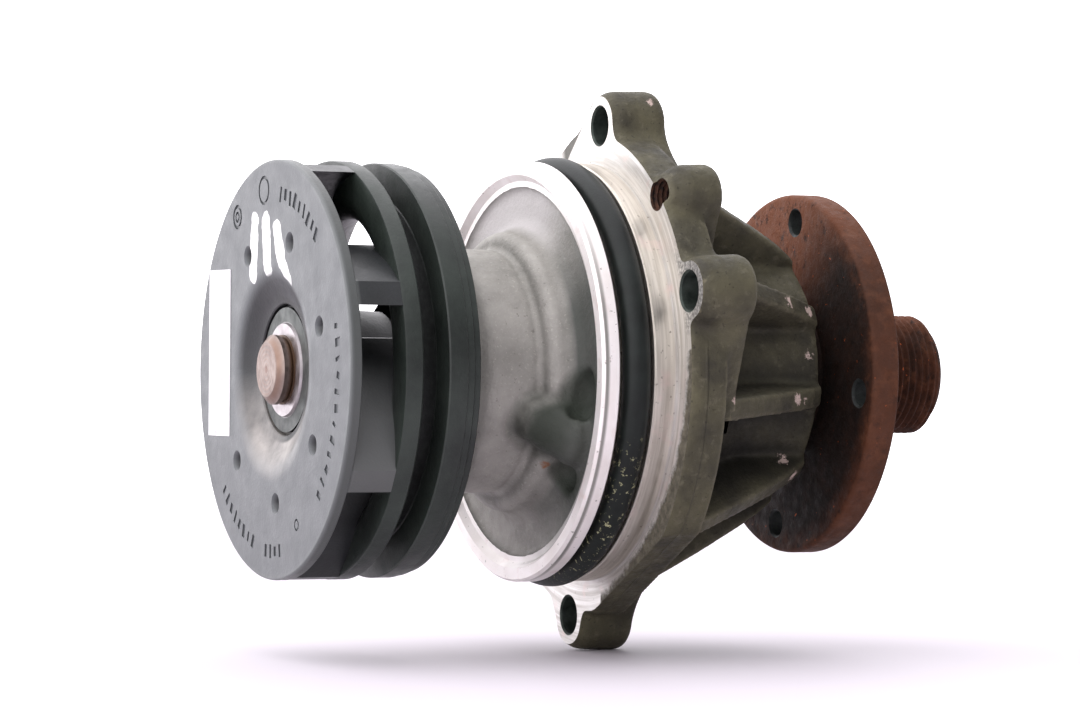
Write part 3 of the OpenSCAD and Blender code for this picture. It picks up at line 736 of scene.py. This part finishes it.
def nylon(name, dark, light, paint_marks=(), bloom=0.0):
    """Glass-filled nylon after years in coolant: black, with a grey bloom on the worn face and a fine
    orange-peel. Brush strokes of white paint lie on top where they are given. Painted shade darkens the groove
    between the shroud's rings and the top of the disc's funnel, and a painted shadow lies at the step round the
    bush."""
    made, tree, shader, place = surface(name, IOR=1.52, Specular_IOR_Level=0.5 if bloom else 0.35)
    x, radius, turn = axis_places(tree, place)
    colour = blend(tree, band(tree, grain(tree, place, 12, 5, 0.6), 0.35, 0.7), dark, light)
    if not bloom:
        # Painted shade: the groove between the shroud's rings is near black.
        groove_shade = times(tree, band(tree, x, -0.0460, -0.0462), band(tree, x, -0.0513, -0.0511))
        colour = blend(tree, groove_shade, colour, "#020504")
    fine = band(tree, grain(tree, place, 1.4, 5, 0.7), 0.45, 0.75, 0, 0.35)
    colour = blend(tree, fine, colour, light)
    if bloom:
        worn = band(tree, x, (DISC_X + 0.9) * MM, (DISC_X + 0.2) * MM, 0, bloom)
        colour = blend(tree, worn, colour, "#5d6062")
        tan = times(tree, band(tree, turn, -20, -75), band(tree, turn, -178, -130), 0.8)
        tan = times(tree, tan, band(tree, radius, 0.0215, 0.0165))
        tan = times(tree, tan, band(tree, grain(tree, place, 7, 4), 0.3, 0.6, 0.3, 0.95))
        colour = blend(tree, tan, colour, "#aaa49e")
        # Painted shade in the top of the funnel round the hub.
        funnel_shade = times(tree, band(tree, radius, 0.0195, 0.0150), band(tree, turn, 60, 110))
        colour = blend(tree, times(tree, funnel_shade, 0.75), colour, "#17181a")
        # Painted shadow: a near-black crescent at the step round the bush, on the near side.
        near_side = times(tree, band(tree, turn, 115, 80), band(tree, turn, -115, -80))
        step = times(tree, band(tree, radius, 0.0141, 0.0136), near_side, band(tree, x, -0.060, -0.061))
        colour = blend(tree, step, colour, "#020303")
        side = times(tree, band(tree, radius, 0.0390, 0.0398), band(tree, x, -0.0628, -0.0634))
        colour = blend(tree, times(tree, side, 0.35), colour, "#6f7370")
        inside = times(tree, band(tree, turn, 5, -15), band(tree, turn, -60, -30), 0.5)
        inside = times(tree, inside, band(tree, x, -0.0634, -0.0630))
        colour = blend(tree, inside, colour, "#6f716f")
    rough = band(tree, grain(tree, place, 5, 5, 0.65), 0.3, 0.7, 0.34, 0.5)
    if paint_marks:
        shaky = add(tree, "ShaderNodeTexNoise", {"Vector": place, "Scale": 1 / (2.2 * MM), "Detail": 3.0})
        shaky = vector_of(tree, "SUBTRACT", shaky.outputs["Color"], (0.5, 0.5, 0.5))
        shaky = vector_of(tree, "MULTIPLY", shaky, (1.5 * MM, 1.5 * MM, 1.5 * MM))
        wet = vector_of(tree, "ADD", place, shaky)
        nearest = None
        for (ay, az), (by, bz), width in paint_marks:
            start, run = Vector((DISC_X, ay, az)) * MM, Vector((0, by - ay, bz - az)) * MM
            away = vector_of(tree, "SUBTRACT", wet, start)
            along = vector_of(tree, "DOT_PRODUCT", away, tuple(run / run.length_squared), output="Value")
            along = math_of(tree, "MAXIMUM", math_of(tree, "MINIMUM", along, 1.0), 0.0)
            on_line = vector_of(tree, "MULTIPLY", along, tuple(run))
            gap = vector_of(tree, "DISTANCE", away, on_line, output="Value")
            gap = math_of(tree, "SUBTRACT", gap, width * MM)
            nearest = gap if nearest is None else math_of(tree, "MINIMUM", nearest, gap)
        on_face = band(tree, x, (DISC_X + 0.5) * MM, (DISC_X + 0.2) * MM)
        painted = times(tree, band(tree, nearest, 0.15 * MM, -0.1 * MM), on_face)
        colour = blend(tree, painted, colour, "#f2f1ef")
        rough = math_of(tree, "MULTIPLY_ADD", painted, 0.1, rough)
    tree.links.new(colour, shader.inputs["Base Color"])
    tree.links.new(rough, shader.inputs["Roughness"])
    relief = math_of(tree, "MULTIPLY_ADD", grain(tree, place, 4, 4), 2.0, grain(tree, place, 0.5, 4))
    bumped(tree, shader, relief, 0.035)
    return made


# Dabs of paint: (y, z) of both ends, and half their width
strokes = [((9.4, 28.5), (10.4, 18.5), 1.9), ((3.6, 28.2), (2.6, 19.5), 2.0)]
strokes += [((-2.2, 26.5), (-4.6, 21), 2.0), ((-4.6, 21), (-8.0, 16.5), 1.7)]
outline = arc((IMPELLER_R - 0.5, DISC_X + 0.5), 0.5, 270, 360, 4) + [(IMPELLER_R, DISC_BACK_X - 0.2)]
outline += [(IMPELLER_R - 0.2, DISC_BACK_X), (30, DISC_BACK_X + 0.1)] + arc((24.5, -50.3), 12.9, 270, 180, 14)
outline += [(11.3, -44), (9.3, -41.4), (8.16, -41.4), (8.16, -50), (9, -50), (9, -61.6), (12.5, -61.6)]
outline += [(12.5, -62.9), (12.7, -63.15), (13.6, -63.35), (14.9, -63.75), (16.2, -64.35), (17.4, -64.95)]
outline += [(18.5, -65.4), (19.6, -65.62), (20.8, DISC_X)]
black = nylon("glass_filled_nylon", "#17191a", "#25282a", strokes, 0.8)
impeller = mesh_object("impeller_disc", [turned(outline)], [black])
blades = repeated(mesh_object("blades", [blade()], [black]), BLADE_COUNT, 360 / BLADE_COUNT, BLADE_START)
cut(impeller, blades, "UNION")
point = [(DISC_X - 1, 2.1), (DISC_X, 2.05), (DISC_X + 0.35, 1.7), (DISC_X + 1.2, 1.1), (DISC_X + 1.4, 0.2)]
dimples = mesh_object("dimples", [peg(point, DIMPLE_R, 0, 32)], [black])
cut(impeller, repeated(dimples, BLADE_COUNT, 360 / BLADE_COUNT, DIMPLE_START))
marks = [moulded_ring(35.2, 122.8, 1.7, 2.4), moulded_ring(35.2, 122.8, 0.6, 1.1)]
marks += [moulded_ring(34.6, 98, 2.2, 2.8), moulded_ring(32, -65, 0.75, 1.15)]
# Rows of dashes: count, radius and how much every other one is moved out, first angle and pitch, the
# widths and heights that take turns, and the slant
rows = [(9, 33.4, 0.25, 83, 4.3, (0.8, 1.3, 1.0, 1.5, 0.9), (3.0, 2.2, 2.8), 8),
        (12, 33.5, 0.3, 14, 5.2, (1.0, 1.6, 0.8, 1.3), (1.5, 2.4, 2.0), 12),
        (4, 34.5, 0, -82, 4.0, (0.9, 1.2), (2.4, 1.8, 2.6), 0),
        (8, 34.3, 0, -106, 4.4, (1.2, 0.8, 1.4), (2.6, 2.0), 10)]
for count, r, shift, first, pitch, widths, heights, slant in rows:
    for i in range(count):
        width, height = widths[i % len(widths)], heights[i % len(heights)]
        marks.append(dash(r + shift * (i % 2), first - pitch * i, width, height, slant * (i % 3 - 1)))
cut(impeller, mesh_object("marks", marks, [black]))
applied(smooth(impeller, 30), ("WEIGHTED_NORMAL", {"keep_sharp": True, "weight": 60}))
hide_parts("impeller_disc")
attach(impeller, "rotor")

# The shroud's outline: the front face and the eye, the rear ring, the groove, and the front ring.
outline = [(39.5, -54.9), (36, -54.7)] + arc((34.8, -48.7), 6, 265, 190, 12) + [(28.8, -48.4), (29.1, -47)]
outline += [(29.9, -45.4), (31.2, -43.8), (33.6, -41.6), (35.2, -40.3), (36.6, -39.4), (38.8, -39.4)]
outline += [(39.0, -39.6), (39.0, -40.6), (39.35, -40.75), (39.5, -40.95), (39.5, -42.1), (39.7, -42.25)]
outline += [(39.8, -42.45), (39.8, -45.75), (39.55, -46), (33.8, -46), (33.6, -46.2), (33.6, -51.0)]
outline += [(33.8, -51.2), (39.65, -51.2), (40, -51.55), (40, -54.4), (39.85, -54.75)]
shroud = mesh_object("impeller_shroud", [turned(outline)], [nylon("shroud_nylon", "#1d221f", "#2f3631")])
smooth(shroud, 30)
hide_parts("impeller_shroud")
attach(shroud, "rotor")

made, tree, shader, place = surface("bush_steel", Metallic=1.0)
x, radius, turn = axis_places(tree, place)
inner = blend(tree, band(tree, grain(tree, place, 2.5, 4), 0.35, 0.7), "#aaa3a5", "#c4bfc0")
outer = blend(tree, band(tree, grain(tree, place, 3, 4), 0.35, 0.7), "#454846", "#5d605e")
colour = blend(tree, band(tree, radius, 0.0089, 0.0092), inner, outer)
tree.links.new(colour, shader.inputs["Base Color"])
tree.links.new(band(tree, grain(tree, place, 2, 4), 0.3, 0.7, 0.3, 0.5), shader.inputs["Roughness"])
rings = math_of(tree, "SINE", times(tree, radius, 2 * math.pi / (0.3 * MM)))
bumped(tree, shader, math_of(tree, "MULTIPLY_ADD", rings, 0.2, grain(tree, place, 1, 4)), 0.015)
finish("impeller_bush", made)

made, tree, shader, place = surface("sticker_paper", Roughness=0.55)
parts = add(tree, "ShaderNodeSeparateXYZ", {0: place}).outputs
rows = math_of(tree, "SINE", times(tree, parts["Z"], 2 * math.pi / (2.6 * MM)))
broken = band(tree, grain(tree, place, 1.1, 2, stretch=(1, 1, 0.4)), 0.5, 0.53)
middle = times(tree, band(tree, parts["Y"], 0.0245, 0.0248), band(tree, parts["Y"], 0.0315, 0.0312))
ink = times(tree, band(tree, rows, 0.5, 0.7), broken, middle, 0.45)
paper = blend(tree, band(tree, grain(tree, place, 5, 4), 0.3, 0.7), "#eceaea", "#f6f5f5")
tree.links.new(blend(tree, ink, paper, "#4a4a50"), shader.inputs["Base Color"])
bumped(tree, shader, grain(tree, place, 1.5, 4), 0.02)
finish("label", made)


# ---- Fan hub ----
# A forged steel hub pressed on the shaft, all rust: a sleeve, a flange with four tapped holes for the
# pulley, and a stub with an M24 x 1.5 thread for the fan clutch.

HUB_R, HUB_X, STUB_X, STUB_R, STUB_END = 36.0, (41.2, 44.9), 50.8, 12.0, 75.2
THREAD_PITCH, THREAD_DEPTH = 1.5, 0.8
HUB_BORE_R, SLEEVE_R, COLLAR_R = 7.96, 14.5, 11.2
PULLEY_HOLES, PULLEY_HOLE_R, PULLEY_BOLT_R, PULLEY_START = 4, 2.5, 30.5, 83


def threaded(x0, x1, r, pitch, depth, around=96):
    """A rod with a helical thread, whose flanks run straight between narrow crests and roots."""
    angles = np.arange(around) / around
    rings = []
    for x in np.arange(x0, x1 + 0.01, pitch / 10):
        wave = np.abs((x / pitch - angles) % 1 - 0.5) * 2
        fade = min(1, (x - x0) / pitch, (x1 - x) / pitch + 0.3)
        radii = r - depth * max(fade, 0) * np.clip((wave - 0.12) / 0.76, 0, 1)
        rings.append(clock(x, radii, angles * 360))
    return lofted(rings)


made, tree, shader, place = surface("rusted_steel", Specular_IOR_Level=0.2)
x, radius, turn = axis_places(tree, place)
colour = blend(tree, band(tree, grain(tree, place, 14, 5, 0.6), 0.35, 0.65), "#23130b", "#4d2a19")
# Painted light: the top of the hub is lighter.
lit_top = times(tree, band(tree, turn, 35, 85), band(tree, turn, 175, 130))
colour = blend(tree, times(tree, lit_top, 0.85), colour, "#7a4a33")
colour = blend(tree, band(tree, grain(tree, place, 3.5, 6, 0.7), 0.5, 0.72, 0, 0.6), colour, "#66402b")
colour = blend(tree, band(tree, grain(tree, place, 2.2, 6, 0.7), 0.46, 0.34, 0, 0.75), colour, "#170c07")
# Painted shadow: the face of the flange behind the housing is near black.
behind = times(tree, band(tree, x, 0.0475, 0.0455), band(tree, turn, 75, 40), band(tree, turn, -150, -120))
housing_shadow = times(tree, band(tree, radius, 0.0358, 0.031), behind, 0.85)
colour = blend(tree, housing_shadow, colour, "#0c0603")
specks = band(tree, grain(tree, place, 1.8, 3, 0.7), 0.69, 0.72)
colour = blend(tree, times(tree, specks, 0.9), colour, "#b4582c")
rim = times(tree, band(tree, radius, 0.0352, 0.0357), 0.4)
colour = blend(tree, rim, colour, "#5a3828")
tree.links.new(colour, shader.inputs["Base Color"])
tree.links.new(band(tree, grain(tree, place, 2.5, 5), 0.3, 0.7, 0.6, 0.9), shader.inputs["Roughness"])
scale = math_of(tree, "MULTIPLY_ADD", grain(tree, place, 2.8, 3), 2.0, grain(tree, place, 0.6, 5, 0.7))
bumped(tree, shader, scale, 0.16)

sleeve_x, flange_x = HUB_X
outline = [(HUB_BORE_R, sleeve_x), (SLEEVE_R - 0.4, sleeve_x), (SLEEVE_R, sleeve_x + 0.4)]
outline += [(SLEEVE_R, flange_x - 1), (SLEEVE_R + 1, flange_x)] + arc((HUB_R - 1, flange_x + 1), 1, 270, 360, 6)
outline += arc((HUB_R - 0.7, STUB_X - 0.7), 0.7, 0, 90, 5) + [(14.0, STUB_X), (COLLAR_R + 0.4, STUB_X)]
outline += [(COLLAR_R, STUB_X + 0.4), (COLLAR_R, STUB_X + 2.6), (10.5, STUB_X + 2.6), (0, STUB_X + 2.6)]
outline += [(0, 60), (HUB_BORE_R, 60)]
hub = mesh_object("fan_hub", [turned(outline)], [made])
stub = threaded(STUB_X + 2.0, STUB_END - 1.5, STUB_R, THREAD_PITCH, THREAD_DEPTH)
cut(hub, mesh_object("stub", [stub], [made]), "UNION")
nose = [(STUB_END - 2.2, COLLAR_R), (STUB_END - 1.4, 11.1), (STUB_END - 0.4, 10.5), (STUB_END, 10.1)]
cut(hub, mesh_object("nose", [peg(nose, steps=96)], [made]), "UNION")
mouth_r = PULLEY_HOLE_R + 0.5
tapped = [(flange_x - 3, mouth_r), (flange_x - 0.1, mouth_r), (flange_x + 0.4, PULLEY_HOLE_R)]
tapped += [(STUB_X - 0.4, PULLEY_HOLE_R), (STUB_X + 0.1, mouth_r), (STUB_X + 3, mouth_r)]
oily = plain("hole_grime", "#0d1110", "#1c2320", 2, 0.5, 0.8, 0.05)
hub.data.materials.append(oily)
holes = mesh_object("holes", [peg(tapped, PULLEY_BOLT_R, 0, 40)], [oily])
cut(hub, repeated(holes, PULLEY_HOLES, 360 / PULLEY_HOLES, PULLEY_START))
smooth(hub, 32)
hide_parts("fan_hub")
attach(hub, "rotor")


# ---- Stage ----
# A pale table in a white room that is brightest to the left and behind, with the darker side of the room
# behind the camera. The camera stands level with the pump's axis.

scene = bpy.context.scene
scene.view_settings.view_transform = "Standard"
world = bpy.data.worlds.new("white_room")
scene.world = world
world.use_nodes = True
tree = world.node_tree
direction = add(tree, "ShaderNodeTexCoord").outputs["Generated"]
brightest = tuple(Vector((-0.72, 0.6, 0.35)).normalized())
towards = vector_of(tree, "DOT_PRODUCT", direction, brightest, output="Value")
background = tree.nodes["Background"]
tree.links.new(band(tree, towards, -0.55, 0.35, 0.5, 2.6), background.inputs["Strength"])
background.inputs["Color"].default_value = paint("#fdfbff")

TABLE_R, TABLE_T, TABLE_SIDES = 1500, 4.0, 96
rim = np.radians(np.arange(TABLE_SIDES) * 360 / TABLE_SIDES)
top = TABLE_R * np.stack([np.cos(rim), np.sin(rim), np.zeros(TABLE_SIDES)], 1)
table = mesh_object("table", [lofted([top - (0, 0, TABLE_T), top])])
table.data.transform(Matrix.Translation((0, 0, cad_low.z)))
made, tree, shader, place = surface("table_top", Roughness=0.7)
shader.inputs["Base Color"].default_value = paint("#cac4cb")
parts = add(tree, "ShaderNodeSeparateXYZ", {0: place}).outputs
flat = add(tree, "ShaderNodeCombineXYZ", {"X": parts["X"], "Y": parts["Y"]})
away = vector_of(tree, "LENGTH", flat.outputs[0], output="Value")
tree.links.new(band(tree, away, 1.3, 0.35), shader.inputs["Alpha"])
table.data.materials.append(made)

camera = bpy.data.objects.new("camera", bpy.data.cameras.new("camera"))
camera.data.lens = 135.3
camera.data.sensor_width = 36
look, up = Vector((0.4193, 0.9079, 0.0034)).normalized(), Vector((-0.0082, 0, 1))
right = look.cross(up).normalized()
facing = Matrix((right, right.cross(look), -look)).transposed().to_4x4()
camera.matrix_world = Matrix.Translation((-0.3428, -0.7216, -0.0004)) @ facing
scene.collection.objects.link(camera)
scene.camera = camera
